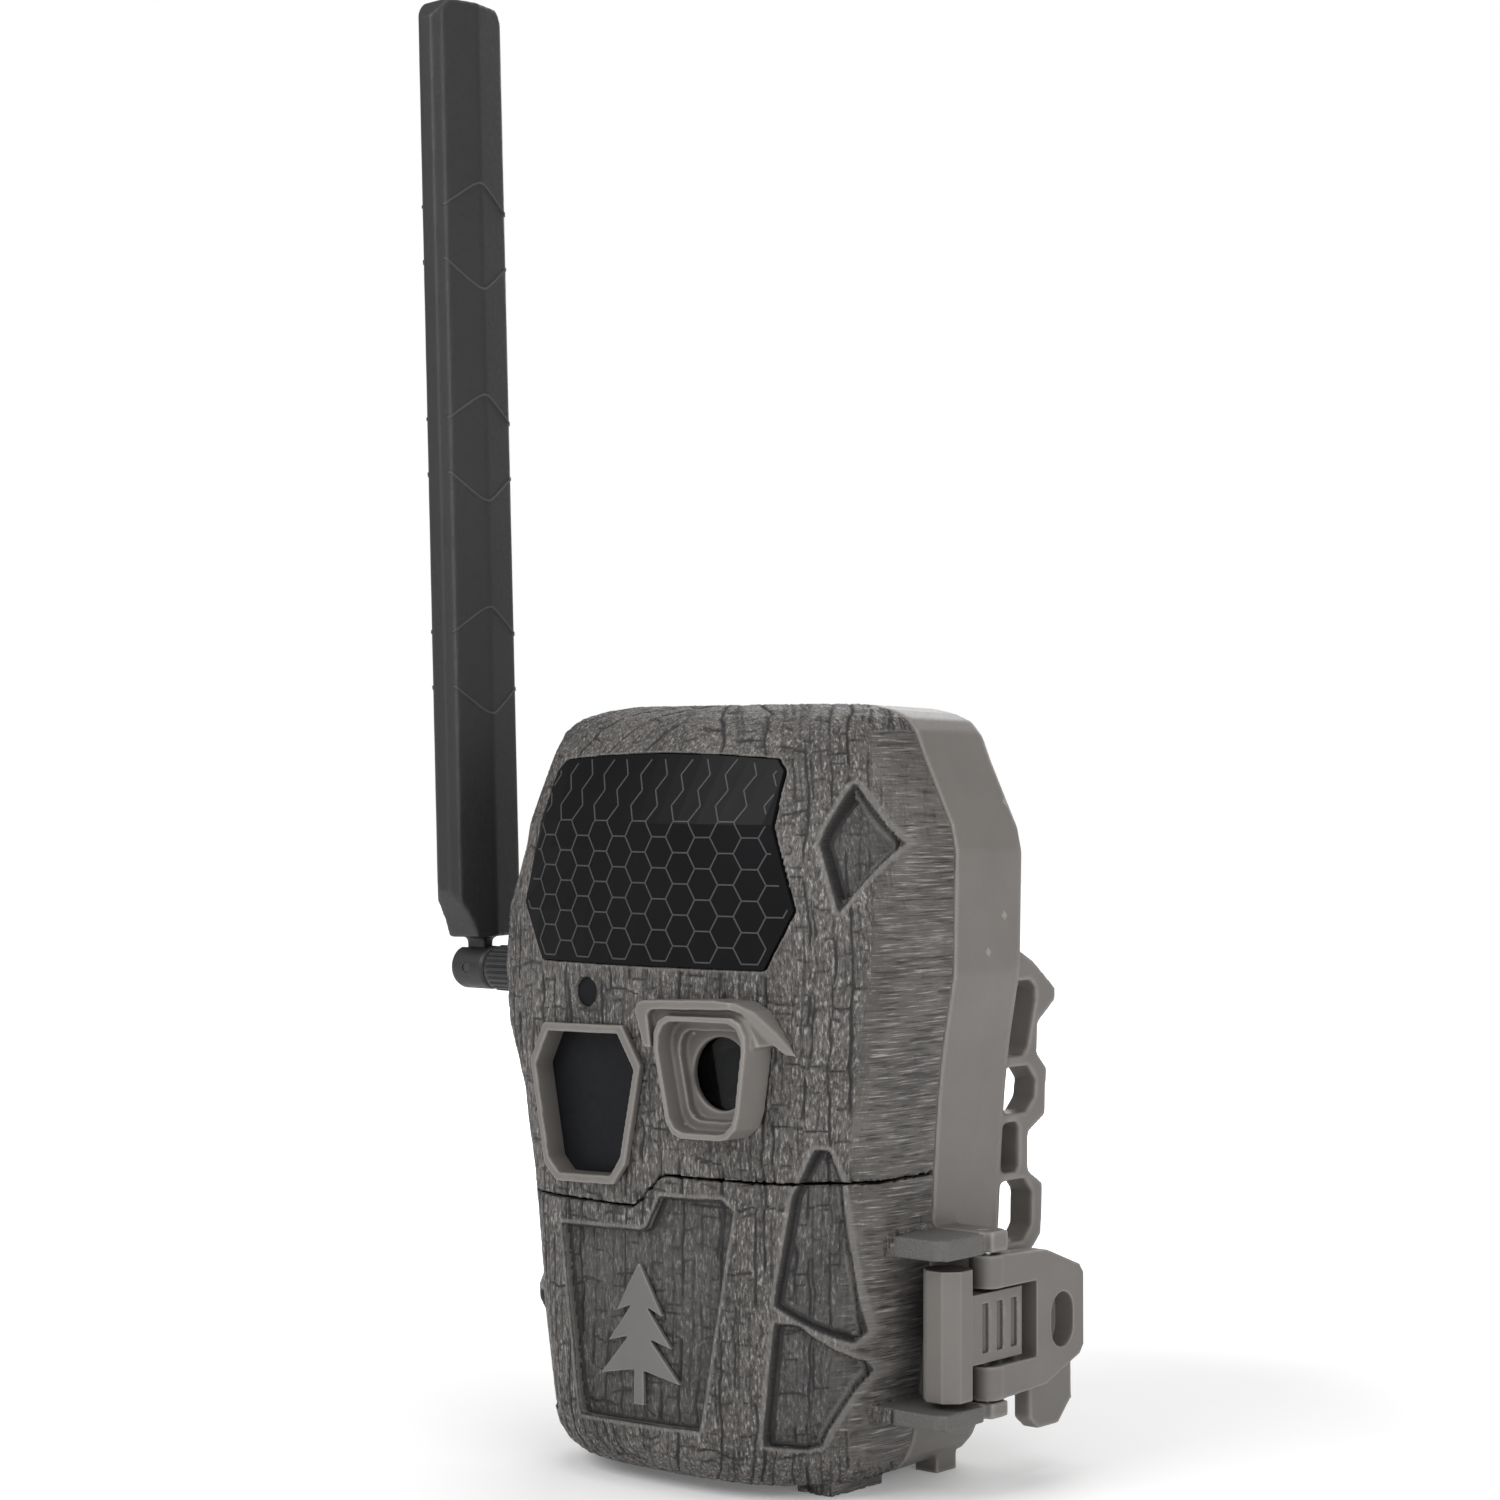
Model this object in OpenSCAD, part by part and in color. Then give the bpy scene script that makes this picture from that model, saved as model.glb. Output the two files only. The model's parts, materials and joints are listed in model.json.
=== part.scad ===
// Trail camera with a paddle antenna, a drop-in battery tray and a draw latch.
// Millimetres. The origin is the mouth of the tripod socket, +Z is up and -Y is the lens side.
// Inside the modules depth is measured from the crown of the front face; datum() moves it.

/* [Housing] */
// Thickness of the moulded walls
wall = 2.4; // [1.8:0.2:3]
// Radius of the curved front face
face_r = 122; // [112:1:140]
// Depth of the parting plane behind the crown of the front face
seam_depth = 34; // [33:0.5:35]
// Depth of the flat rear face
total_depth = 57.8; // [57:0.2:58.2]
// Depth of the tripod socket axis
socket_depth = 43; // [42.5:0.5:44]
// Width of the gap between the mouldings
seam_gap = 0.4; // [0.2:0.1:0.8]

/* [Front] */
// Lens axis, to the right of the middle
lens_x = 17.9; // [17.4:0.1:18.4]
// Lens axis, above the socket
lens_z = 76.1; // [75.5:0.1:76.7]
// Diameter of the lens window
lens_d = 13; // [11:0.5:13.5]
// Columns of infrared lamps
led_columns = 8; // [4:1:9]

/* [Antenna] */
// Length of the paddle above the knuckle
blade_length = 186; // [120:1:220]
// Lean of the paddle away from the housing
blade_lean = 1.8; // [0:0.1:4]
// Height of the coaxial connector
jack_z = 90.9; // [88:0.1:95]
// Depth of the coaxial connector
jack_depth = 22; // [21:0.5:24]

/* [Power] */
// Diameter of an AA cell
cell_d = 14.4; // [14:0.1:14.5]
// Length of an AA cell with its tip
cell_length = 50.2; // [49.2:0.1:50.5]

/* [Latch] */
// Depth of the lever pivot
lever_depth = 37.4; // [37:0.1:38]
// Sideways place of the lever pivot
lever_x = 49.8; // [49.5:0.1:50]
// Running clearance on a pin's radius
running = 0.06; // [0.03:0.01:0.09]

/* [Hidden] */
$fn = 48;
eps = 0.01;
bark = [0.40, 0.37, 0.34];
smooth_grey = [0.46, 0.43, 0.40];
black = [0.07, 0.07, 0.08];
board_green = [0.08, 0.30, 0.16];
steel = [0.72, 0.72, 0.74];
brass = [0.80, 0.64, 0.30];

// Housing sections: height, half width, set back of the front face, corner radius
levels = [
    [2, 30.5, 9, 20], [3, 32.4, 5.6, 22], [5, 34.3, 2.9, 24], [8, 35.7, 0.9, 25.5],
    [13, 36.9, 0, 25.5], [31, 38.8, 0, 22.5], [46, 40.3, 0, 22.6], [60, 41, 0, 21],
    [70, 41.7, 0, 19], [78, 42.6, 0, 13.5], [82, 43.2, 0, 10.8], [93, 45.2, 0, 12],
    [104, 45.4, 0, 16], [115.5, 45.6, 0, 27], [120, 44.6, 0, 28], [132.5, 38.5, 6.1, 17],
    [137, 36.6, 9.6, 12.5], [139.4, 34.5, 13.5, 9], [140.8, 31, 18, 6.5], [141.8, 26, 23, 5]
];
middle_z = 72;
half_height = 70;
corner_steps = 8;
face_steps = 5;
hinge_x = -42.8;
hinge_r = 2.5;
hinge_pin_r = 1;
ledge_top = [43.9, 47.6];
ledge_bottom = [14.2, 17.1];
ledge_x = 52.6;
ledge_root = 36;
lever_pin_r = 1.1;
link_x = 47.9;
link_depth = 43.8;
column_depth = 28.2;
arm_z = [17.5, 43.4];
opening_z = [23.6, 37.4];
led_pitch = 5.6;
flange_x = [34.8, 40.2];
ear_x = [41.8, 45.6];
tray_z = [11, 41.6];
panel_z = [43.4, 50.4];
panel_depth = 20;
row_z = [18.8, 33.8];
row_depth = [16.6, 31.2, 45.8];
knuckle_x = -61.8;
nut_x = [-57, -46.8];
insert_r = 4;
socket_r = 3.175;
insert_length = 8.5;
screw_x = 32.6;
housing_screw_z = [62, 124];
board_screw_x = 26;
board_screw_z = [64, 116];
jack_place = [-19, 45.6];
pir_x = -13.5;
pir_z = 69;
light_hole_x = -14;
light_hole_z = 89.2;
light_hole_r = 2.8;

// ---- shared shapes -------------------------------------------------------

// Puts a module drawn from the crown of the front face into the part frame
module datum() translate([0, -socket_depth, 0]) children();

// Prism with an outline in X and Z, running in depth from one value to another
module along_depth(from, to)
    translate([0, to, 0]) rotate([90, 0, 0]) linear_extrude(to - from) children();

// Cylinder lying along X
module rod_x(r, from, to) translate([from, 0, 0]) rotate([0, 90, 0]) cylinder(r = r, h = to - from);

// Cylinder lying along the depth
module rod_y(r, from, to) translate([0, from, 0]) rotate([-90, 0, 0]) cylinder(r = r, h = to - from);

// Closed solid through rings of points, every ring with the same count
module loft(rings) {
    n = len(rings[0]);
    last = len(rings) - 1;
    sides = [for (k = [0:last - 1], i = [0:n - 1]) let (j = (i + 1) % n)
        each [[k * n + i, (k + 1) * n + i, (k + 1) * n + j], [k * n + i, (k + 1) * n + j, k * n + j]]];
    floor_face = [for (i = [0:n - 1]) i];
    roof_face = [for (i = [n - 1:-1:0]) last * n + i];
    polyhedron([for (r = rings) each r], concat(sides, [floor_face, roof_face]));
}

// One level outline: curved face, two round corners, straight sides back to a depth
function level_ring(z, w, y0, r, back) =
    let (cx = w - r,
         cy = y0 + face_r - sqrt(pow(face_r - r, 2) - cx * cx),
         a0 = atan2(cx, y0 + face_r - cy),
         corner = [for (i = [0:corner_steps]) a0 + (90 - a0) * i / corner_steps],
         right = [for (a = corner) [cx + r * sin(a), cy - r * cos(a), z]],
         face = [for (i = [1 - face_steps:face_steps - 1]) let (a = a0 * i / face_steps)
             [face_r * sin(a), y0 + face_r - face_r * cos(a), z]],
         left = [for (i = [corner_steps:-1:0]) [-right[i].x, right[i].y, z]])
    concat([[-w, back, z]], left, face, right, [[w, back, z]]);

// Height moved towards the middle by an inset that is full at the top and bottom
function inset_z(z, inset) = middle_z + (z - middle_z) * (1 - inset / half_height);

// Solid inside the front skin, inset by a wall
module front_block(inset, back) loft([for (l = levels) level_ring(
    inset_z(l[0], inset), l[1] - inset, l[2] + inset, max(l[3] - inset, 1), back)]);

// Upright outline of the housing at the parting plane
function outline(shrink) = let (s = 1 - shrink / 45) concat(
    [for (l = levels) [-l[1] * s, inset_z(l[0], shrink)]],
    [for (i = [len(levels) - 1:-1:0]) [levels[i][1] * s, inset_z(levels[i][0], shrink)]]);

// Upright outline of the cavity in the front mouldings at the parting plane
function cavity(inset) = concat(
    [for (l = levels) [inset - l[1], inset_z(l[0], inset)]],
    [for (i = [len(levels) - 1:-1:0]) [levels[i][1] - inset, inset_z(levels[i][0], inset)]]);

// Solid of the rear shell: straight, then rounded off into the rear face
module rear_block(inset, front) {
    edge = total_depth - inset;
    steps = [[front - 1, 0], [edge - 3.4, 0.5], [edge - 1.6, 1.2], [edge - 0.5, 2.4], [edge + 0.5, 6]];
    intersection() {
        loft([for (s = steps) [for (p = outline(s[1] + inset)) [p.x, s[0], p.y]]]);
        translate([-70, front, -5]) cube([140, edge - front, 170]);
    }
}

// Area below the step between the front housing and the door
module below_seam(gap) polygon([
    [-70, -20], [70, -20], [70, 57.3 + gap], [5.6, 57.3 + gap], [3.9, 56.4 + gap],
    [0, 52.2 + gap], [-1.8, 51.2 + gap], [-70, 51.2 + gap]]);

// Points scaled about a centre, for a part and the opening that it sits in
function about(pts, c, s) = [for (p = pts) [c.x + (p.x - c.x) * s, c.y + (p.y - c.y) * s]];

window_points = [[26.6, 94.7], [32.3, 105.2], [27.8, 119.5], [27.2, 129.6], [25.4, 131.6], [13, 132.4],
    [0, 132.7], [-13, 132.4], [-25.4, 131.6], [-27.2, 129.6], [-27.8, 119.5], [-32.3, 105.2],
    [-26.6, 94.7]];
bezel_points = [[-24.6, 83.2], [-3, 83.8], [1.5, 76.8], [-2.2, 58.8], [-5.2, 54.9], [-20.8, 54.2],
    [-24.4, 57], [-29, 76]];
hood_points = [[7.1, 80.6], [7.2, 83.4], [8.2, 85.4], [10, 86.4], [25, 86.7], [27, 85.8], [28.2, 83.6],
    [28.3, 81], [26.8, 69.6], [26, 67.2], [24, 65.4], [21.8, 65], [13.4, 64.9], [11.4, 65.6], [10, 67.6]];
badge_points = [[-20.5, 46.1], [0.3, 46.9], [1.9, 47.6], [4.8, 53.2], [18.1, 53.6], [20.2, 51.8],
    [13.4, 12.8], [-15.3, 12.1]];
spear_points = [[34.6, 63.2], [36, 63], [36.9, 57.8], [37.6, 30.8], [36.8, 29.2], [28, 36], [28.4, 38.8],
    [31.2, 55]];
shield_points = [[28, 32.6], [31, 32.2], [37, 25.2], [37.2, 23.6], [31.8, 10.8], [30.4, 10.3], [25, 11]];
diamond_points = [[37.4, 127], [43.7, 116.8], [39.4, 105.4], [35.4, 116.8]];

// Curved band just outside and inside the front face, below the fold
module face_band(outside, inside) difference() {
    translate([0, face_r, 40]) cylinder(r = face_r + outside, h = 60, $fn = 96);
    translate([0, face_r, 39]) cylinder(r = face_r - inside, h = 62, $fn = 96);
}

// Decorative recess: an outline sunk to a depth below the skin
module sunk(points, depth) difference() {
    along_depth(-1, 30) polygon(points);
    front_block(depth, seam_depth);
}

module mirrored() {
    children();
    mirror([1, 0, 0]) children();
}

// ---- housing -------------------------------------------------------------

// Strap ladder: one toothed flange with four slots
module strap_flange() translate([flange_x[0], 0, 0]) rotate([90, 0, 90])
    linear_extrude(flange_x[1] - flange_x[0]) difference() {
        polygon([[54, 99], [59.5, 97.2], [66.2, 94], [73.5, 88.6], [73.5, 86.2], [67.7, 82.2], [67.5, 76.5],
            [70.7, 73.6], [70.1, 64.8], [64.5, 61.8], [64.5, 54.8], [69.3, 52], [68.9, 42.6], [65.5, 39.6],
            [54, 38.6]]);
        polygon([[54.6, 76.4], [63, 76.4], [64.6, 78], [67.1, 86.6], [67.1, 89], [65.2, 90.4],
            [54.6, 90.4]]);
        polygon([[54.6, 65.8], [64, 65.8], [66.8, 68.4], [67.1, 71.6], [64.4, 74.4], [54.6, 74.4]]);
        polygon([[54.6, 54.9], [60.8, 54.9], [61.6, 56], [61.6, 63], [60.8, 64.1], [54.6, 64.1]]);
        polygon([[54.6, 41.8], [63.2, 41.8], [65.7, 44.4], [65.9, 50.6], [63.2, 53.4], [54.6, 53.4]]);
    }

// Padlock ear behind the lever, on a root that joins it to the side of the shell
module padlock_ear() difference() {
    union() {
        translate([ear_x[0], 0, 0]) rotate([90, 0, 90]) linear_extrude(ear_x[1] - ear_x[0]) polygon([
            [50, 40], [64, 40], [70.5, 34], [71, 12], [66.4, 7.8], [60, 7.8], [57.2, 10], [57.2, 16],
            [50, 16]]);
        translate([ledge_root, 48, 17]) cube([ear_x[1] - ledge_root, 5, 22]);
    }
    translate([0, 57.2, 27.8]) rod_x(3.6, 30, 60);
    translate([0, 57.2, 30.8]) rod_x(3.6, 30, 60);
    translate([30, 53.6, 27.8]) cube([30, 7.2, 3]);
}

// A ledge beside the latch, between two depths
module ledge(z, from, to) {
    translate([ledge_root, from, z[0]]) cube([ledge_x - ledge_root - 1.5, to - from, z[1] - z[0]]);
    translate([ledge_x - 1.5 - eps, from + 1, z[0]]) cube([1.5 + eps, to - from - 2, z[1] - z[0]]);
}

// Rim behind the parting gap above the door: reaches into the front housing, with a root in the rear wall
module seam_lip() intersection() {
    union() {
        along_depth(seam_depth - 1.6, seam_depth + 2) difference() {
            polygon(cavity(wall + 0.2));
            polygon(cavity(wall + 1.4));
        }
        along_depth(seam_depth + 0.5, seam_depth + 2) difference() {
            polygon(outline(wall - 0.6));
            polygon(cavity(wall + 1.4));
        }
    }
    translate([-60, 30, 58]) cube([120, 10, 90]);
}

module lever_pin_bores() for (z = [13, 36.5]) translate([lever_x, lever_depth, z])
    cylinder(r = lever_pin_r + running, h = 12.5);

module rear_housing() color(smooth_grey) datum() difference() {
    union() {
        difference() {
            union() {
                rear_block(0, seam_depth + seam_gap / 2);
                for (z = [ledge_top, ledge_bottom]) ledge(z, seam_depth + seam_gap / 2, 41.4);
                padlock_ear();
                mirrored() translate([27.5, 46, 0]) cube([5, 6, 8]);
            }
            rear_block(wall, seam_depth - 2);
        }
        seam_lip();
        mirrored() strap_flange();
        for (z = [[75.2, 91.2], [54.1, 65.2]])
            translate([-36.5, total_depth - 1.3, z[0]]) cube([73, 3.1, z[1] - z[0]]);
        translate([0, socket_depth, 0]) cylinder(r = 7.5, h = 10.4);
        for (z = [24.4, 39.4]) translate([hinge_x, seam_depth, z]) cylinder(r = hinge_r, h = 4.6);
        for (z = [24.4, 39.4]) translate([hinge_x, seam_depth + 0.5, z]) cube([5, 1.7, 4.6]);
        mirrored() for (z = housing_screw_z) translate([screw_x, 0, z])
            rod_y(3, seam_depth + seam_gap / 2, total_depth - 1);
        mirrored() for (z = board_screw_z) translate([board_screw_x, 0, z])
            rod_y(2.6, 41.7, total_depth - 1);
    }
    lever_pin_bores();
    translate([0, socket_depth, -1]) cylinder(r = insert_r, h = insert_length + 1);
    translate([jack_place.x, jack_place.y, -1]) cylinder(r = 3.7, h = 8);
    translate([hinge_x, seam_depth, 20]) cylinder(r = hinge_pin_r + running, h = 30);
    mirrored() for (z = housing_screw_z) translate([screw_x, 0, z]) {
        rod_y(1.5, 30, 60);
        rod_y(2.9, total_depth - 1.8, 60);
    }
    mirrored() for (z = board_screw_z) translate([board_screw_x, 0, z]) rod_y(1.02, 40, 46);
}

module front_housing() color(bark) datum() difference() {
    union() {
        difference() {
            front_block(0, seam_depth - seam_gap / 2);
            front_block(wall, seam_depth + 2);
            along_depth(-30, 60) below_seam(seam_gap / 2);
        }
        translate([0, jack_depth, jack_z]) difference() {
            rod_x(7, -46.2, -40.5);
            rod_x(3.1, -47, -40);
        }
        mirrored() for (z = housing_screw_z) translate([screw_x, 0, z]) difference() {
            rod_y(3, 12, seam_depth - seam_gap / 2);
            rod_y(1.5, 22, 60);
        }
    }
    translate([0, jack_depth, jack_z]) rod_x(3.1, -60, -40);
    along_depth(-10, 12) polygon(about(window_points, [0, 113.7], 1.006));
    along_depth(-10, 12) polygon(about(bezel_points, [pir_x, pir_z], 0.96));
    along_depth(-10, 12) polygon(about(hood_points, [lens_x, lens_z], 0.96));
    translate([light_hole_x, 0, light_hole_z]) rod_y(light_hole_r, -5, 10);
    mirrored() sunk(diamond_points, 1.5);
    mirrored() sunk(spear_points, 1.3);
}

module door() color(bark) datum() difference() {
    union() {
        intersection() {
            difference() {
                front_block(0, seam_depth - seam_gap / 2);
                front_block(wall, seam_depth + 2);
            }
            along_depth(-30, 60) below_seam(-seam_gap / 2);
        }
        intersection() {
            difference() {
                front_block(1, 24);
                front_block(4.2, 30);
            }
            along_depth(-1, 14) polygon(about(badge_points, [0, 32], 1.08));
        }
        for (z = [ledge_top, ledge_bottom]) ledge(z, 20.5, seam_depth - seam_gap / 2);
        mirrored() translate([21.5, 18.5, 0]) cube([8, 15, 4]);
        translate([hinge_x, seam_depth, 29.3]) cylinder(r = hinge_r, h = 9.8);
        translate([hinge_x, seam_depth - 2.2, 29.3]) cube([5.4, 1.7, 9.8]);
    }
    translate([hinge_x, seam_depth, 20]) cylinder(r = hinge_pin_r + running, h = 30);
    sunk(badge_points, 1.8);
    mirrored() sunk(spear_points, 1.3);
    mirrored() sunk(shield_points, 1.3);
}

// Generic pine tree standing on the floor of the door recess
module door_emblem() color([0.56, 0.53, 0.50]) datum() intersection() {
    along_depth(-1, 3.5) translate([-1, 0]) {
        for (tier = [[20, 9.6, 10], [26.2, 7.6, 9], [31.8, 5.6, 9]])
            polygon([[-tier[1], tier[0]], [-1.4, tier[0] + 1.6], [1.4, tier[0] + 1.6], [tier[1], tier[0]],
                [0.2, tier[0] + tier[2]], [-0.2, tier[0] + tier[2]]]);
        polygon([[-1.2, 15.4], [1.2, 15.4], [0.8, 36], [-0.8, 36]]);
    }
    difference() {
        translate([0, face_r + 0.9, 10]) cylinder(r = face_r, h = 40, $fn = 96);
        translate([0, face_r + 1.8, 9]) cylinder(r = face_r, h = 42, $fn = 96);
    }
}

module door_hinge_pin() color(steel) datum()
    translate([hinge_x, seam_depth, 24]) cylinder(r = hinge_pin_r, h = 20.4);

// Rubber cord inside the front edge of the rear housing, round the foot and sides of the door opening
module door_gasket() color([0.1, 0.1, 0.1]) datum() intersection() {
    difference() {
        rear_block(wall + 0.05, 30);
        rear_block(wall + 1.5, 28);
    }
    translate([-50, seam_depth + 0.4, 0]) cube([100, 1, 50]);
}

// ---- front optics --------------------------------------------------------

module infrared_window() color(black) datum() intersection() {
    difference() {
        front_block(-0.25, seam_depth);
        front_block(2.2, seam_depth + 1);
    }
    along_depth(-10, 20) polygon(window_points);
}

module infrared_leds() color([0.12, 0.10, 0.14]) datum() for (row = [0:3], col = [0:led_columns - 1])
    translate([(col - (led_columns - 1) / 2) * led_pitch, 0, 99.4 + row * led_pitch]) {
        rod_y(1.6, 6.2, 8.6);
        translate([0, 6.2, 0]) sphere(r = 1.6, $fn = 24);
    }

module led_board() color(board_green) datum() translate([-25, 8.6, 96]) cube([50, 1.2, 23.4]);

module lens_hood() color(smooth_grey) datum() difference() {
    union() {
        difference() {
            union() {
                along_depth(-4.4, 5.5) polygon(hood_points);
                along_depth(-2.6, 5.5) polygon([[5.6, 80.6], [5.4, 87], [6.6, 87.8], [24.8, 88.4],
                    [27, 86.8], [30, 81.8], [26, 80.6]]);
                intersection() {
                    along_depth(-5, 9) polygon([[4.9, 80.6], [2.6, 87], [3.3, 88.4], [4.8, 88.9], [21, 89.6],
                        [25.4, 89.3], [28, 87.8], [30.6, 84], [33, 79.6], [31.2, 80.2], [28, 85.2],
                        [26.6, 87.2], [24.8, 88], [6.6, 87.3], [5.6, 86.4], [6.5, 80.6]]);
                    linear_extrude(120) polygon([[0, -4.4], [24.8, -4.4], [27.4, -2.4], [33.4, 5],
                        [33.4, 9], [0, 9]]);
                }
            }
            translate([0, face_r, 50]) cylinder(r = face_r, h = 60, $fn = 96);
        }
        along_depth(0, 7.5) polygon(about(hood_points, [lens_x, lens_z], 0.95));
    }
    along_depth(-9, -0.4) polygon(about(hood_points, [lens_x, lens_z], 0.9));
    along_depth(-9, 1.7) polygon(about(hood_points, [lens_x, lens_z], 0.73));
    translate([lens_x, 0, lens_z]) {
        rod_y(lens_d / 2, -9, 20);
        rod_y(7.6, 3.2, 20);
    }
}

module lens_window() color([0.15, 0.16, 0.18]) datum() translate([lens_x, 0, lens_z]) rod_y(7.5, 3.2, 4.4);

module lens_barrel() color(black) datum() translate([lens_x, 0, lens_z]) difference() {
    union() {
        rod_y(6.2, 4.6, 14);
        translate([-8, 14, -8]) cube([16, 4, 16]);
    }
    rod_y(4.8, 4, 14.5);
    rod_y(3, 14, 19);
}

// Three glass elements in the barrel
module lens_elements() color([0.2, 0.25, 0.35]) datum() translate([lens_x, 0, lens_z]) {
    intersection() {
        rod_y(4.6, 5, 8);
        translate([0, 12.2, 0]) sphere(r = 7, $fn = 64);
    }
    rod_y(4.4, 9, 10.4);
    rod_y(4.4, 11.4, 13);
}

module image_sensor() color(board_green) datum() translate([lens_x, 0, lens_z]) {
    translate([-10, 19, -10]) cube([20, 1.2, 20]);
    translate([-3.2, 18.2, -2.6]) cube([6.4, 0.8 + eps, 5.2]);
}

module motion_bezel() color(smooth_grey) datum() difference() {
    union() {
        intersection() {
            face_band(1.6, 0);
            along_depth(-10, 12) polygon(bezel_points);
        }
        intersection() {
            face_band(eps, 5.8);
            along_depth(-10, 12) polygon(about(bezel_points, [pir_x, pir_z], 0.95));
        }
    }
    along_depth(-20, 20) polygon(about(bezel_points, [pir_x, pir_z], 0.89));
}

module motion_window() color(black) datum() intersection() {
    face_band(-3, 4.2);
    along_depth(-10, 12) polygon(about(bezel_points, [pir_x, pir_z], 0.885));
}

module motion_sensor() color(steel) datum() translate([pir_x, 0, pir_z]) {
    rod_y(4.5, 15, 19);
    translate([-6, 19, -6]) cube([12, 1.2, 12]);
}

module light_sensor_window() color([0.2, 0.2, 0.22]) datum()
    translate([light_hole_x, 0, light_hole_z]) rod_y(light_hole_r - 0.05, 1.9, 3.2);

// ---- latch ---------------------------------------------------------------

module latch_lever() color(smooth_grey) datum() difference() {
    union() {
        translate([48.6, 0, 0]) rotate([90, 0, 90]) linear_extrude(4.2) polygon([
            [lever_depth, arm_z[1]], [52.4, arm_z[1] - 0.8], [62.8, 38.8], [64.2, 37], [64.2, 23.8],
            [62.8, 22.2], [52, 18.2], [lever_depth, arm_z[0]]]);
        translate([lever_x, lever_depth, arm_z[0]]) cylinder(r = 3.2, h = arm_z[1] - arm_z[0]);
        for (z = [opening_z[0] - 4, opening_z[1]]) translate([link_x, link_depth, z])
            cylinder(r = 2.3, h = 4);
    }
    translate([40, lever_depth - 4, opening_z[0]])
        cube([20, 53 - lever_depth, opening_z[1] - opening_z[0]]);
    translate([lever_x, lever_depth, 10]) cylinder(r = lever_pin_r + running, h = 40);
    translate([link_x, link_depth, 10]) cylinder(r = 1 + running, h = 40);
    translate([0, 57.2, 27.8]) rod_x(3.5, 45, 56);
    translate([0, 57.2, 30.8]) rod_x(3.5, 45, 56);
    translate([45, 53.7, 27.8]) cube([11, 7, 3]);
}

module latch_link() color(smooth_grey) datum() difference() {
    union() {
        translate([link_x + 0.1, column_depth, 18.4]) rotate([0, 0, 22.5])
            cylinder(r = 4.5, h = 23.2, $fn = 8);
        translate([link_x + 0.4, column_depth, 24.4]) cube([3.4, link_depth - column_depth + 2, 12.4]);
        translate([link_x, link_depth, 24.4]) cylinder(r = 2.3, h = 12.4);
        translate([link_x - 2.3, link_depth - 6, 24.4]) cube([3, 6, 12.4]);
    }
    for (y = [33.6, 38, 42.4]) translate([link_x + 2.8, y, 26.2]) cube([2, 1.9, 8.8]);
    translate([link_x, link_depth, 20]) cylinder(r = 1 + running, h = 20);
}

module latch_lever_pins() color(steel) datum() for (z = [[ledge_bottom[0] + 0.2, 23], [38, 47.4]])
    translate([lever_x, lever_depth, z[0]]) cylinder(r = lever_pin_r, h = z[1] - z[0]);

module latch_link_pin() color(steel) datum() translate([link_x, link_depth, 20.4]) cylinder(r = 1, h = 20);

// ---- antenna -------------------------------------------------------------

module antenna_jack() color(brass) datum() translate([0, jack_depth, jack_z]) {
    rod_x(3, -54, -40.4);
    translate([-40.45, 0, 0]) rotate([0, 90, 0]) cylinder(r = 5, h = 2.4, $fn = 6);
}

// Coupling nut with a ribbed grip
module antenna_nut() color(black) datum() translate([0, jack_depth, jack_z]) difference() {
    union() {
        rod_x(4.1, nut_x[0], nut_x[1]);
        for (i = [0:23]) rotate([i * 15, 0, 0]) translate([nut_x[0] + 0.8, -0.3, 3.9])
            cube([nut_x[1] - nut_x[0] - 1.6, 0.6, 0.6]);
    }
    rod_x(3 + running, nut_x[0] + 2.4, nut_x[1] + 1);
    rod_x(2.1, nut_x[0] - 1, nut_x[1]);
}

// Forked block that swivels in the nut
module antenna_knuckle() color(black) datum() translate([0, jack_depth, jack_z]) difference() {
    union() {
        translate([-66.4, 0, 0]) rotate([0, 90, 0]) rotate_extrude() polygon([[0, 0], [3.2, 0], [3.9, 0.4],
            [4.3, 1.3], [4.3, 8.4], [4, 9.1], [3.4, 9.3], [0, 9.3]]);
        rod_x(1.1, -60, nut_x[0] + 2);
    }
    translate([-70, -1.6, -3.4]) cube([11.6, 3.2, 10]);
    translate([knuckle_x, 0, 0]) rod_y(0.9 + running, -6, 6);
}

module antenna_knuckle_pin() color(black) datum() translate([knuckle_x, jack_depth, jack_z])
    rod_y(0.9, -4, 4);

// Paddle: six sided, tapered to the tongue at the foot, corners cut at the top
module antenna_blade() color(black) datum() translate([knuckle_x, jack_depth, jack_z])
    rotate([0, -blade_lean, 0]) difference() {
        union() {
            intersection() {
                linear_extrude(blade_length + 5.6) polygon([[5, 0], [3.3, 8.2], [1.6, 9.6], [-1.6, 9.6],
                    [-3.3, 8.2], [-5, 0], [-3.3, -8.2], [-1.6, -9.6], [1.6, -9.6], [3.3, -8.2]]);
                rotate([90, 0, 90]) translate([0, 0, -10]) linear_extrude(20) polygon([[-4.6, 6], [4.6, 6],
                    [6, 9.6], [9.6, 15], [9.6, blade_length + 1.6], [6.6, blade_length + 5],
                    [-6.6, blade_length + 5], [-9.6, blade_length + 1.6], [-9.6, 15], [-6, 9.6]]);
            }
            translate([-2.4, -1.45, 0]) cube([4.8, 2.9, 7]);
            rod_y(2.4, -1.45, 1.45);
        }
        rod_y(0.9 + running, -6, 6);
        translate([-0.5, -5, 24]) cube([1, 10, blade_length - 40]);
    }

module antenna_radiator() color(brass) datum() translate([knuckle_x, jack_depth, jack_z])
    rotate([0, -blade_lean, 0]) translate([-0.3, -4.5, 26]) cube([0.6, 9, blade_length - 44]);

// ---- electronics and power -----------------------------------------------

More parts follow.
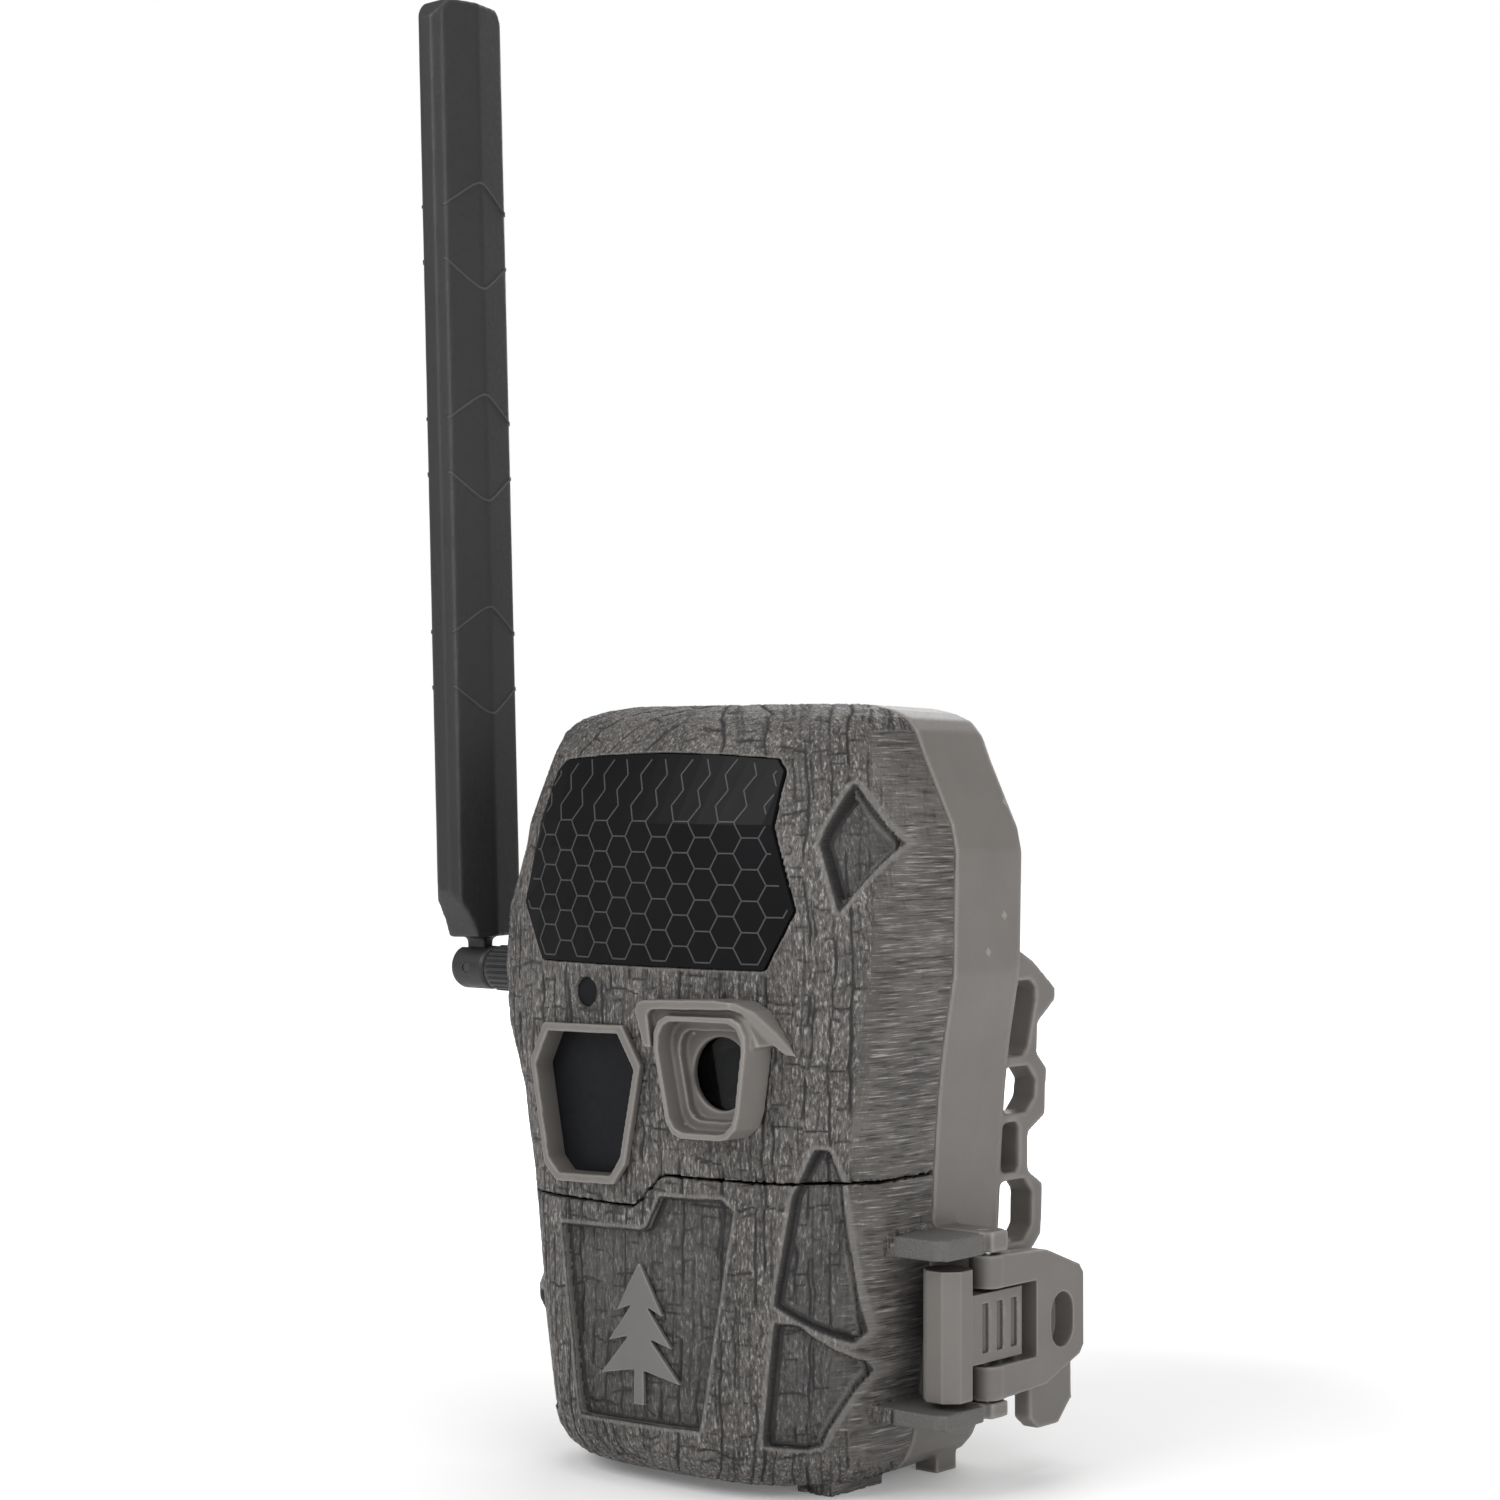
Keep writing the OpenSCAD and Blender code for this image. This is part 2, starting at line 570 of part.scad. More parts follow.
module main_board() color(board_green) datum() difference() {
    translate([-38, 40, 57]) cube([76, 1.6, 65]);
    mirrored() for (z = housing_screw_z) translate([screw_x, 0, z]) rod_y(4, 38, 44);
    mirrored() for (z = board_screw_z) translate([board_screw_x, 0, z]) rod_y(1.1, 38, 44);
}

module cellular_module() color(steel) datum() translate([-30, 37.6, 84]) cube([28, 2.4, 30]);

module control_panel() color([0.2, 0.2, 0.21]) datum() difference() {
    union() {
        translate([-33, panel_depth, panel_z[0]]) cube([66, 1.8, panel_z[1] - panel_z[0]]);
        mirrored() translate([30.6, panel_depth, panel_z[0]]) cube([2.4, 30, panel_z[1] - panel_z[0]]);
    }
    translate([-29, panel_depth - 1, 45.4]) cube([7.2, 4, 3.4]);
    translate([-15.4, 0, 47.1]) rod_y(1.9, panel_depth - 1, panel_depth + 4);
    translate([-10.2, panel_depth - 1, 45.8]) cube([24.8, 4, 2.6]);
    translate([16.8, panel_depth - 1, 46.2]) cube([12.8, 4, 1.4]);
}

module control_board() color(board_green) datum() translate([-30, panel_depth + 3, 43.6])
    cube([60, 27, 1.2]);

module power_switch() color(black) datum() {
    translate([-26.2, panel_depth - 0.9, 46.1]) cube([2, 2.9, 2]);
    translate([-27.4, panel_depth + 2, 45.3]) cube([4.4, 1.2, 3.6]);
}

module setup_button() color([0.5, 0.5, 0.52]) datum() translate([-15.4, 0, 47.1]) {
    rod_y(1.7, panel_depth - 0.8, panel_depth + 2.2);
    rod_y(2.2, panel_depth + 2.2, panel_depth + 2.9);
}

module sd_socket() color(steel) datum() difference() {
    translate([-11.6, panel_depth + 4, 44.8]) cube([27.6, 26, 4.2]);
    translate([-10, panel_depth + 3, 45.8]) cube([24.4, 26.6, 2.5]);
}

module sd_card() color([0.1, 0.15, 0.35]) datum()
    translate([-9.8, panel_depth - 2.4, 46]) linear_extrude(2.1)
        polygon([[0, 0], [24, 0], [24, 28], [20, 30.4], [0, 30.4]]);

module sim_socket() color(steel) datum() difference() {
    translate([16.4, panel_depth + 4, 44.8]) cube([13.6, 14, 3.4]);
    translate([16.9, panel_depth + 3, 46.3]) cube([12.6, 14, 1.2]);
}

module sim_card() color([0.85, 0.85, 0.85]) datum()
    translate([17.1, panel_depth - 1.2, 46.5]) linear_extrude(0.8)
        polygon([[0, 0], [12, 0], [12, 12.6], [9.6, 15], [0, 15]]);

module battery_tray() color([0.16, 0.16, 0.17]) datum() difference() {
    translate([0, 0, tray_z[0]]) linear_extrude(tray_z[1] - tray_z[0] - 0.4) polygon([
        [-24.4, 9], [24.4, 9], [29.2, 15], [29.2, 52.4], [-29.2, 52.4], [-29.2, 15]]);
    for (z = row_z, y = row_depth) translate([0, y, z]) rod_x(cell_d / 2 + 0.1, -26.9, 26.9);
    translate([-23.6, 5, tray_z[0] + 3]) cube([47.2, 45.8, tray_z[1]]);
    translate([-26.9, 12.6, tray_z[0] + 3]) cube([53.8, 37.2, tray_z[1]]);
}

module battery_cells() color([0.25, 0.25, 0.28]) datum() for (i = [0:1], j = [0:2])
    translate([0, row_depth[j], row_z[i]]) mirror([(i + j) % 2, 0, 0]) translate([-0.7, 0, 0]) {
        rod_x(cell_d / 2, -cell_length / 2, cell_length / 2 - 1);
        rod_x(2.6, cell_length / 2 - 1, cell_length / 2);
    }

// Coil springs at the negative ends, drawn as stacked rings on a core disc
module battery_springs() color(steel) datum() for (i = [0:1], j = [0:2])
    translate([0, row_depth[j], row_z[i]]) mirror([(i + j) % 2, 0, 0])
        translate([-26.7, 0, 0]) rotate([0, 90, 0]) rotate_extrude() {
            polygon([[1, 0], [4, 0], [4, 0.35], [1, 0.35]]);
            polygon([[2.6, 0.3], [3.1, 0.3], [2.7, 0.88], [2.2, 0.88]]);
        }

module battery_contacts() color(steel) datum() for (i = [0:1], j = [0:2])
    translate([0, row_depth[j], row_z[i]]) mirror([(i + j) % 2, 0, 0])
        translate([24.45, -3.6, -3.6]) cube([2.4, 7.2, 7.2]);

module tripod_insert() color(brass) datum() translate([0, socket_depth, 0]) difference() {
    cylinder(r = insert_r, h = insert_length);
    translate([0, 0, -1]) cylinder(r = socket_r, h = insert_length);
}

module housing_screws() color(steel) datum() mirrored() for (z = housing_screw_z)
    translate([screw_x, 0, z]) {
        rod_y(1.45, 24, total_depth - 1.7);
        difference() {
            rod_y(2.7, total_depth - 1.8, total_depth - 0.1);
            for (a = [0, 90]) rotate([0, a, 0]) translate([-1.6, total_depth - 0.9, -0.3])
                cube([3.2, 2, 0.6]);
        }
    }

module board_screws() color(steel) datum() mirrored() for (z = board_screw_z)
    translate([board_screw_x, 0, z]) {
        rod_y(1, 38.2, 44);
        rod_y(2, 38.4, 40);
    }

module power_jack() color(black) datum() translate([jack_place.x, jack_place.y, 0]) difference() {
    translate([0, 0, 2.6]) cylinder(r = 3.6, h = 7.4);
    translate([0, 0, 2]) cylinder(r = 2.75, h = 6.6);
}

module power_jack_cover() color([0.12, 0.12, 0.12]) datum() translate([jack_place.x, jack_place.y, 0]) {
    translate([0, 0, 0.3]) cylinder(r = 4.6, h = 1.6);
    translate([0, 0, 0.3]) cylinder(r = 2.6, h = 6);
}

rear_housing();
front_housing();
door();
door_emblem();
door_hinge_pin();
door_gasket();
infrared_window();
infrared_leds();
led_board();
lens_hood();
lens_window();
lens_barrel();
lens_elements();
image_sensor();
motion_bezel();
motion_window();
motion_sensor();
light_sensor_window();
latch_lever();
latch_link();
latch_lever_pins();
latch_link_pin();
antenna_jack();
antenna_nut();
antenna_knuckle();
antenna_knuckle_pin();
antenna_blade();
antenna_radiator();
main_board();
cellular_module();
control_panel();
control_board();
power_switch();
setup_button();
sd_socket();
sd_card();
sim_socket();
sim_card();
battery_tray();
battery_cells();
battery_springs();
battery_contacts();
tripod_insert();
housing_screws();
board_screws();
power_jack();
power_jack_cover();
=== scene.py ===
"""Looks of the trail camera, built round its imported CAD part. Metres, same frame as the part."""
import json
import math

import bpy
import numpy as np
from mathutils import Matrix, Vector
from mathutils.bvhtree import BVHTree


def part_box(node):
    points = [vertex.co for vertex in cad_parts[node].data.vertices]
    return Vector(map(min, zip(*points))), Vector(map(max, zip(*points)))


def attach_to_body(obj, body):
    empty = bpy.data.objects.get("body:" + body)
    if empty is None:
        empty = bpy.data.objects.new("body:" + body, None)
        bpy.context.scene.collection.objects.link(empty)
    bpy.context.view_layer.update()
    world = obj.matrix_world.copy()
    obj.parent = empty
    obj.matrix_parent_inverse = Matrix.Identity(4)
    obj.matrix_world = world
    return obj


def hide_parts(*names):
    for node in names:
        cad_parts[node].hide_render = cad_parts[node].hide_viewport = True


MM = 0.001
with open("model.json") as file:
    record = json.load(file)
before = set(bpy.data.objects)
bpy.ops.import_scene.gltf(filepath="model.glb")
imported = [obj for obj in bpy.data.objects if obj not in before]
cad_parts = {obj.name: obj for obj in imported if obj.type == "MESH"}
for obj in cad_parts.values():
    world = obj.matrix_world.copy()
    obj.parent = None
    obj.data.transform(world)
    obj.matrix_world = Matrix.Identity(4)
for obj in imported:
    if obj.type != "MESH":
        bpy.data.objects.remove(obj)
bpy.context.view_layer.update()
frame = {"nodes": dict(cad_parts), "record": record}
BODY_OF = {n: b for b, names in frame["record"]["behaviour"]["bodies"].items() for n in names}
SLOT_OF = {s["node"]: s["material_slot"] for s in frame["record"]["subparts"]}
NODES = frame["nodes"]

FRONT_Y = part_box("infrared_window")[0][1] + 0.25 * MM   # crown of the curved front face
SEAM_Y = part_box("door")[1][1]                           # parting plane of the two shells


# ---- small tools ---------------------------------------------------------

def noise(points, size, seed):
    """Smooth noise from 0 to 1 at points (n, 3), with lattice cells of the given size per axis."""
    cell = np.asarray(points, float) / np.asarray(size, float)
    base = np.floor(cell).astype(np.int64)
    part = cell - base
    part = part * part * (3 - 2 * part)
    total = np.zeros(len(cell))
    for corner in range(8):
        offset = np.array([corner & 1, corner >> 1 & 1, corner >> 2])
        weight = np.prod(np.where(offset, part, 1 - part), axis=1)
        total += weight * lattice(base + offset, seed)
    return total


def lattice(cells, seed):
    """A repeatable number from 0 to 1 for each whole-number cell."""
    mixed = cells[:, 0] * 374761393 + cells[:, 1] * 668265263 + cells[:, 2] * 2147483647 + seed * 974634777
    mixed = (mixed ^ (mixed >> 13)) * 1274126177
    mixed = mixed ^ (mixed >> 16)
    return (mixed & 0xFFFFFF) / float(0xFFFFFF)


def smooth_step(value, low, high):
    """0 below low, 1 above high, and an even curve between them."""
    t = np.clip((value - low) / (high - low), 0, 1)
    return t * t * (3 - 2 * t)


def read_vertices(mesh, what):
    """The places (co) or normals (normal) of a mesh's vertices, as an array (n, 3)."""
    values = np.empty(len(mesh.vertices) * 3)
    mesh.vertices.foreach_get(what, values)
    return values.reshape(-1, 3)


def write_points(mesh, points):
    mesh.vertices.foreach_set("co", points.ravel())
    mesh.update()


def paint(mesh, name, values):
    """Stores one number per vertex for the materials to read."""
    layer = mesh.attributes.new(name, "FLOAT", "POINT")
    layer.data.foreach_set("value", values.astype(np.float32))


def shade_smooth(obj, angle=None):
    obj.data.polygons.foreach_set("use_smooth", [True] * len(obj.data.polygons))
    if angle is not None:
        obj.data.set_sharp_from_angle(angle=math.radians(angle))


def evaluated_copy(name, source):
    """A new object with the mesh that the source shows once its modifiers have run."""
    bpy.context.view_layer.update()
    depsgraph = bpy.context.evaluated_depsgraph_get()
    mesh = bpy.data.meshes.new_from_object(source.evaluated_get(depsgraph))
    obj = bpy.data.objects.new(name, mesh)
    bpy.context.scene.collection.objects.link(obj)
    return obj


def attach(obj, node):
    """Lets an object ride with a CAD node's body."""
    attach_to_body(obj, BODY_OF[node])


def remeshed(node, voxel, rounds):
    """Copy of a CAD node rebuilt as even quads, with its sharp edges eased. It stands in for the node."""
    work = NODES[node].copy()
    work.data = NODES[node].data.copy()
    work.parent = None
    bpy.context.scene.collection.objects.link(work)
    voxels = work.modifiers.new("even", "REMESH")
    voxels.mode = "VOXEL"
    voxels.voxel_size = voxel
    ease = work.modifiers.new("ease", "SMOOTH")
    ease.factor = 0.5
    ease.iterations = rounds
    obj = evaluated_copy(node + "_look", work)
    bpy.data.objects.remove(work)
    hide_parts(node)
    attach(obj, node)
    return obj


def caster_of(node):
    """A tree to cast rays against a CAD node's mesh."""
    mesh = NODES[node].data
    mesh.calc_loop_triangles()
    return BVHTree.FromPolygons([v.co for v in mesh.vertices], [t.vertices for t in mesh.loop_triangles])


# ---- materials -----------------------------------------------------------

COLOUR_SPREAD = 0.08        # drift of a plastic's colour each way, as a share
EDGE_HIGHLIGHT_WIDTH = 0.35 * MM        # width of the painted highlight on the edges of plain parts
CREVICE_REACH = 5 * MM      # how far a hollow's walls may stand apart and still shade it


def new_material(name):
    """A node material, with its tree and its shader."""
    material = bpy.data.materials.new(name)
    material.use_nodes = True
    tree = material.node_tree
    return material, tree, tree.nodes["Principled BSDF"]


def object_coords(tree, scale=(1, 1, 1)):
    """Places on the object in metres, scaled per axis."""
    coords = tree.nodes.new("ShaderNodeTexCoord")
    mapping = tree.nodes.new("ShaderNodeMapping")
    mapping.inputs["Scale"].default_value = scale
    tree.links.new(coords.outputs["Object"], mapping.inputs["Vector"])
    return mapping.outputs["Vector"]


def noise_value(tree, vector, scale, detail=3, roughness=0.6):
    texture = tree.nodes.new("ShaderNodeTexNoise")
    texture.inputs["Scale"].default_value = scale
    texture.inputs["Detail"].default_value = detail
    texture.inputs["Roughness"].default_value = roughness
    tree.links.new(vector, texture.inputs["Vector"])
    return texture.outputs["Fac"]


def ranged(tree, value, low, high, to_low, to_high):
    """The value's span from low to high, stretched over to_low to to_high and held there beyond it."""
    node = tree.nodes.new("ShaderNodeMapRange")
    node.inputs["From Min"].default_value = low
    node.inputs["From Max"].default_value = high
    node.inputs["To Min"].default_value = to_low
    node.inputs["To Max"].default_value = to_high
    tree.links.new(value, node.inputs["Value"])
    return node.outputs["Result"]


def mixed_colour(tree, factor, first, second):
    """A blend of two colours, each a tuple or a socket."""
    node = tree.nodes.new("ShaderNodeMix")
    node.data_type = "RGBA"
    tree.links.new(factor, node.inputs["Factor"])
    for socket, colour in ((node.inputs["A"], first), (node.inputs["B"], second)):
        if isinstance(colour, tuple):
            socket.default_value = (*colour, 1)
        else:
            tree.links.new(colour, socket)
    return node.outputs["Result"]


def mixed_value(tree, factor, first, second):
    node = tree.nodes.new("ShaderNodeMix")
    node.data_type = "FLOAT"
    tree.links.new(factor, node.inputs["Factor"])
    tree.links.new(first, node.inputs["A"])
    tree.links.new(second, node.inputs["B"])
    return node.outputs["Result"]


def attribute(tree, name):
    """A number painted on the vertices."""
    node = tree.nodes.new("ShaderNodeAttribute")
    node.attribute_name = name
    return node.outputs["Fac"]


def bumped(tree, shader, height, strength, distance):
    """Grain too fine for the mesh, as a bend of the shader's normal."""
    node = tree.nodes.new("ShaderNodeBump")
    node.inputs["Strength"].default_value = strength
    node.inputs["Distance"].default_value = distance
    tree.links.new(height, node.inputs["Height"])
    tree.links.new(node.outputs["Normal"], shader.inputs["Normal"])


def edge_light(tree, radius):
    """1 on rounded edges, where a highlight is painted, 0 elsewhere: the bevelled normal compared with the
    true one.
    """
    bevel = tree.nodes.new("ShaderNodeBevel")
    bevel.inputs["Radius"].default_value = radius
    bevel.samples = 4
    geometry = tree.nodes.new("ShaderNodeNewGeometry")
    dot = tree.nodes.new("ShaderNodeVectorMath")
    dot.operation = "DOT_PRODUCT"
    tree.links.new(bevel.outputs["Normal"], dot.inputs[0])
    tree.links.new(geometry.outputs["Normal"], dot.inputs[1])
    return ranged(tree, dot.outputs["Value"], 0.98, 0.75, 0, 1)


def crevice_shade(tree, colour, reach, darkest):
    """The colour, darkened down to a share of itself in hollows."""
    hollow = tree.nodes.new("ShaderNodeAmbientOcclusion")
    hollow.inputs["Distance"].default_value = reach
    hollow.samples = 8
    level = ranged(tree, hollow.outputs["AO"], 0.25, 0.9, darkest, 1)
    shade = tree.nodes.new("ShaderNodeVectorMath")
    shade.operation = "SCALE"
    tree.links.new(colour, shade.inputs[0])
    tree.links.new(level, shade.inputs["Scale"])
    return shade.outputs["Vector"]


def plastic(name, colour, roughness, grain=9000, bump=0.12, edge_highlight=0.25, sheen=0.4, dense=False):
    """Moulded plastic: fine spark-eroded grain, slow colour drift and edges painted paler as a highlight.
    On dense meshes the rounded edges are picked out by their curvature, and hollows get painted shade."""
    material, tree, shader = new_material(name)
    vector = object_coords(tree)
    drift = noise_value(tree, vector, 60, 4)
    speck = noise_value(tree, vector, grain * 0.2, 2)
    dark = tuple(c * (1 - COLOUR_SPREAD) for c in colour)
    light = tuple(min(c * (1 + COLOUR_SPREAD), 1) for c in colour)
    # pale is the colour of the painted highlight on the edges
    pale = tuple(min(c * 1.6 + 0.02, 1) for c in colour)
    base = mixed_colour(tree, ranged(tree, drift, 0.3, 0.7, 0, 1), dark, light)
    flecked = mixed_colour(tree, ranged(tree, speck, 0.62, 0.75, 0, 0.3), base, light)
    if dense:
        geometry = tree.nodes.new("ShaderNodeNewGeometry")
        # painted highlight on the convex edges, found by curvature, and painted shade in the hollows
        edge = ranged(tree, geometry.outputs["Pointiness"], 0.505, 0.56, 0, edge_highlight)
        flecked = crevice_shade(tree, flecked, CREVICE_REACH, 0.6)
    else:
        # painted highlight along the edges, found by a bevel
        edge = ranged(tree, edge_light(tree, EDGE_HIGHLIGHT_WIDTH), 0, 1, 0, edge_highlight)
    tree.links.new(mixed_colour(tree, edge, flecked, pale), shader.inputs["Base Color"])
    gloss = ranged(tree, speck, 0.3, 0.7, roughness - 0.07, roughness + 0.07)
    tree.links.new(gloss, shader.inputs["Roughness"])
    shader.inputs["Specular IOR Level"].default_value = sheen
    bumped(tree, shader, noise_value(tree, vector, grain, 2), bump, 0.06 * MM)
    return material


def bark_plastic():
    """Textured shell: cracks darkened with painted shade, pale ridges (grain colour with a painted
    highlight) and fibres that run up the face and back along the sides, plus painted highlights on the panel
    rims.
    """
    material, tree, shader = new_material("bark_shell")
    # depth carries the painted shade of the cracks and the panel walls
    depth = attribute(tree, "depth")
    recess = attribute(tree, "recess")
    side = attribute(tree, "side")
    smooth = attribute(tree, "smooth")
    # rim carries the painted highlight round the sunk panels and the window opening
    rim = attribute(tree, "rim")
    upright = noise_value(tree, object_coords(tree, (2200, 2200, 700)), 1, 4, 0.7)
    flowing = noise_value(tree, object_coords(tree, (500, 130, 3100)), 1, 4, 0.6)
    fibre = mixed_value(tree, side, upright, ranged(tree, flowing, 0.2, 0.8, 0.27, 0.73))
    patch = noise_value(tree, object_coords(tree), 85, 4)
    patches = ranged(tree, patch, 0.3, 0.7, 0, 1)
    colour = mixed_colour(tree, patches, (0.052, 0.047, 0.043), (0.106, 0.098, 0.091))
    layers = (
        (ranged(tree, fibre, 0.54, 0.64, 0, 0.8), (0.30, 0.29, 0.28)),        # pale fibres: grain colour and a painted highlight on the ridges
        (ranged(tree, fibre, 0.47, 0.38, 0, 0.9), (0.016, 0.015, 0.015)),     # shadow between fibres
        (ranged(tree, recess, 0, 1, 0, 0.5), (0.038, 0.037, 0.038)),          # sunk panels
        (ranged(tree, depth, 0.1, 0.7, 0, 0.92), (0.008, 0.007, 0.007)),      # painted shade in the cracks and on the panel walls
        (ranged(tree, rim, 0, 1, 0, 0.5), (0.17, 0.162, 0.154)),              # painted highlight on the rims of the panels and the window opening
        (smooth, (0.100, 0.096, 0.091)),                                      # bare inner walls
    )
    for share, layer in layers:
        colour = mixed_colour(tree, share, colour, layer)
    tree.links.new(colour, shader.inputs["Base Color"])
    tree.links.new(ranged(tree, fibre, 0.3, 0.7, 0.60, 0.38), shader.inputs["Roughness"])
    shader.inputs["Specular IOR Level"].default_value = 0.45
    grain = noise_value(tree, object_coords(tree), 2600, 2)
    bumped(tree, shader, mixed_value(tree, smooth, fibre, grain), 0.9, 0.32 * MM)
    return material


def metal(name, colour, roughness):
    """Metal with fine streaks."""
    material, tree, shader = new_material(name)
    streak = noise_value(tree, object_coords(tree, (3000, 400, 3000)), 1, 3)
    dark = tuple(c * 0.75 for c in colour)
    tree.links.new(mixed_colour(tree, streak, dark, colour), shader.inputs["Base Color"])
    shader.inputs["Metallic"].default_value = 1
    gloss = ranged(tree, streak, 0.3, 0.7, roughness - 0.08, roughness + 0.1)
    tree.links.new(gloss, shader.inputs["Roughness"])
    bumped(tree, shader, streak, 0.15, 0.03 * MM)
    return material


def window_plastic():
    """Near-black infrared window: satin with a faint orange peel."""
    material, tree, shader = new_material("infrared_black")
    vector = object_coords(tree)
    peel = noise_value(tree, vector, 1500, 2)
    tone = noise_value(tree, vector, 40, 2)
    colour = mixed_colour(tree, tone, (0.003, 0.003, 0.0035), (0.006, 0.006, 0.007))
    tree.links.new(colour, shader.inputs["Base Color"])
    tree.links.new(ranged(tree, tone, 0.3, 0.7, 0.30, 0.42), shader.inputs["Roughness"])
    shader.inputs["Specular IOR Level"].default_value = 0.11
    bumped(tree, shader, peel, 0.05, 0.05 * MM)
    return material


def clear_glass():
    """Lens window, coated against reflections, so light passes almost straight through."""
    material, tree, shader = new_material("clear_glass")
    shader.inputs["Base Color"].default_value = (0.16, 0.19, 0.19, 1)
    shader.inputs["Transmission Weight"].default_value = 1
    shader.inputs["IOR"].default_value = 1.24
    smudge = noise_value(tree, object_coords(tree), 300, 3)
    tree.links.new(ranged(tree, smudge, 0.4, 0.8, 0.01, 0.06), shader.inputs["Roughness"])
    return material


def coated_glass():
    """Dark lens glass with the green and purple reflection of its coating painted on towards the rim."""
    material, tree, shader = new_material("coated_glass")
    facing = tree.nodes.new("ShaderNodeLayerWeight")
    facing.inputs["Blend"].default_value = 0.35
    # painted coating reflection: green face-on, purple where the glass is seen edge-on
    coating_reflection = mixed_colour(tree, facing.outputs["Facing"], (0.002, 0.005, 0.004), (0.010, 0.004, 0.012))
    tree.links.new(coating_reflection, shader.inputs["Base Color"])
    shader.inputs["Roughness"].default_value = 0.12
    shader.inputs["Specular IOR Level"].default_value = 0.18
    return material


def circuit_board():
    """Green solder mask over faint rows of tracks."""
    material, tree, shader = new_material("circuit_board")
    tracks = tree.nodes.new("ShaderNodeTexBrick")
    tracks.inputs["Scale"].default_value = 180
    tracks.inputs["Color1"].default_value = (0.010, 0.085, 0.040, 1)
    tracks.inputs["Color2"].default_value = (0.014, 0.110, 0.050, 1)
    tracks.inputs["Mortar"].default_value = (0.030, 0.170, 0.080, 1)
    tree.links.new(object_coords(tree), tracks.inputs["Vector"])
    tree.links.new(tracks.outputs["Color"], shader.inputs["Base Color"])
    shader.inputs["Roughness"].default_value = 0.35
    bumped(tree, shader, tracks.outputs["Fac"], 0.2, 0.03 * MM)
    return material


MATERIALS = {
    "bark_shell": bark_plastic(),
    "smooth_shell": plastic("smooth_shell", (0.136, 0.127, 0.118), 0.44, bump=0.28, edge_highlight=0.9, dense=True),
    "emblem_grey": plastic("emblem_grey", (0.125, 0.120, 0.114), 0.42, edge_highlight=0.8, dense=True),
    "antenna_black": plastic("antenna_black", (0.018, 0.018, 0.019), 0.45, grain=5200, bump=0.5, edge_highlight=0.5,
                             sheen=0.45, dense=True),
    "satin_black": plastic("satin_black", (0.012, 0.012, 0.013), 0.4, sheen=0.3),
    "sensor_film": plastic("sensor_film", (0.006, 0.0065, 0.008), 0.5, grain=3000, bump=0.1, edge_highlight=0.05,
                           sheen=0.15),
    "rubber": plastic("rubber", (0.015, 0.015, 0.016), 0.7, grain=7000, bump=0.3),
    "button_grey": plastic("button_grey", (0.12, 0.12, 0.13), 0.6),
    "card_blue": plastic("card_blue", (0.01, 0.025, 0.12), 0.35),
    "card_white": plastic("card_white", (0.75, 0.75, 0.72), 0.35),
    "cell_wrap": plastic("cell_wrap", (0.012, 0.016, 0.028), 0.25, grain=2000, bump=0.02, edge_highlight=0.1),
    "lamp_resin": plastic("lamp_resin", (0.03, 0.015, 0.03), 0.08, bump=0.0),
    "steel": metal("steel", (0.62, 0.62, 0.64), 0.30),
    "brass": metal("brass", (0.78, 0.58, 0.27), 0.28),
    "circuit_board": circuit_board(),
    "infrared_black": window_plastic(),
    "clear_glass": clear_glass(),
    "coated_glass": coated_glass(),
    "antenna_line": plastic("antenna_line", (0.045, 0.045, 0.047), 0.4, edge_highlight=0.2),
    "window_line": plastic("window_line", (0.040, 0.040, 0.042), 0.5, edge_highlight=0.1),
}


def dress(obj, slot):
    """Gives an object one material and drops the ones it had."""
    obj.data.materials.clear()
    obj.data.materials.append(MATERIALS[slot])


# ---- bark on the front housing and the door --------------------------------

# Outlines in millimetres of x and z. The first three are sunk panels on the right half, mirrored on the left
SPEAR = ((34.6, 63.2), (36, 63), (36.9, 57.8), (37.6, 30.8), (36.8, 29.2), (28, 36), (28.4, 38.8),
         (31.2, 55))
SHIELD = ((28, 32.6), (31, 32.2), (37, 25.2), (37.2, 23.6), (31.8, 10.8), (30.4, 10.3), (25, 11))
DIAMOND = ((37.4, 127), (43.7, 116.8), (39.4, 105.4), (35.4, 116.8))
WINDOW = ((26.6, 94.7), (32.3, 105.2), (27.8, 119.5), (27.2, 129.6), (25.4, 131.6), (13, 132.4),
          (0, 132.7), (-13, 132.4), (-25.4, 131.6), (-27.2, 129.6), (-27.8, 119.5), (-32.3, 105.2),
          (-26.6, 94.7))
BADGE = ((-20.5, 46.1), (0.3, 46.9), (1.9, 47.6), (4.8, 53.2), (18.1, 53.6), (20.2, 51.8), (13.4, 12.8),
         (-15.3, 12.1))
BARK_VOXEL = 0.38 * MM
BARK_SEED = {"front_housing": 11, "door": 29}
PANEL_SINK = 0.35 * MM      # how much deeper than the CAD the panel floors lie
FIBRE_HEIGHT = 0.22         # heights of the bark's layers in millimetres
STRAND_HEIGHT = 0.14
FLOW_HEIGHT = 0.07
CRACK_DEPTH = 0.34
LEDGE_X = (41.6, 42.2)      # the latch ledges start between these millimetres and stay plain
LEDGE_TOP = 50 * MM


def inside(x, z, outline):
    """Distance inside an outline in millimetres, negative outside."""
    far = np.full(len(x), 1e9)
    within = np.zeros(len(x), bool)
    for (ax, az), (bx, bz) in zip(outline, outline[1:] + outline[:1]):
        run, rise = bx - ax, bz - az
        within ^= ((az > z) != (bz > z)) & (x < run * (z - az) / (rise + 1e-9) + ax)
        along = np.clip(((x - ax) * run + (z - az) * rise) / (run ** 2 + rise ** 2), 0, 1)
        far = np.minimum(far, np.hypot(x - ax - along * run, z - az - along * rise))
    return np.where(within, far, -far)


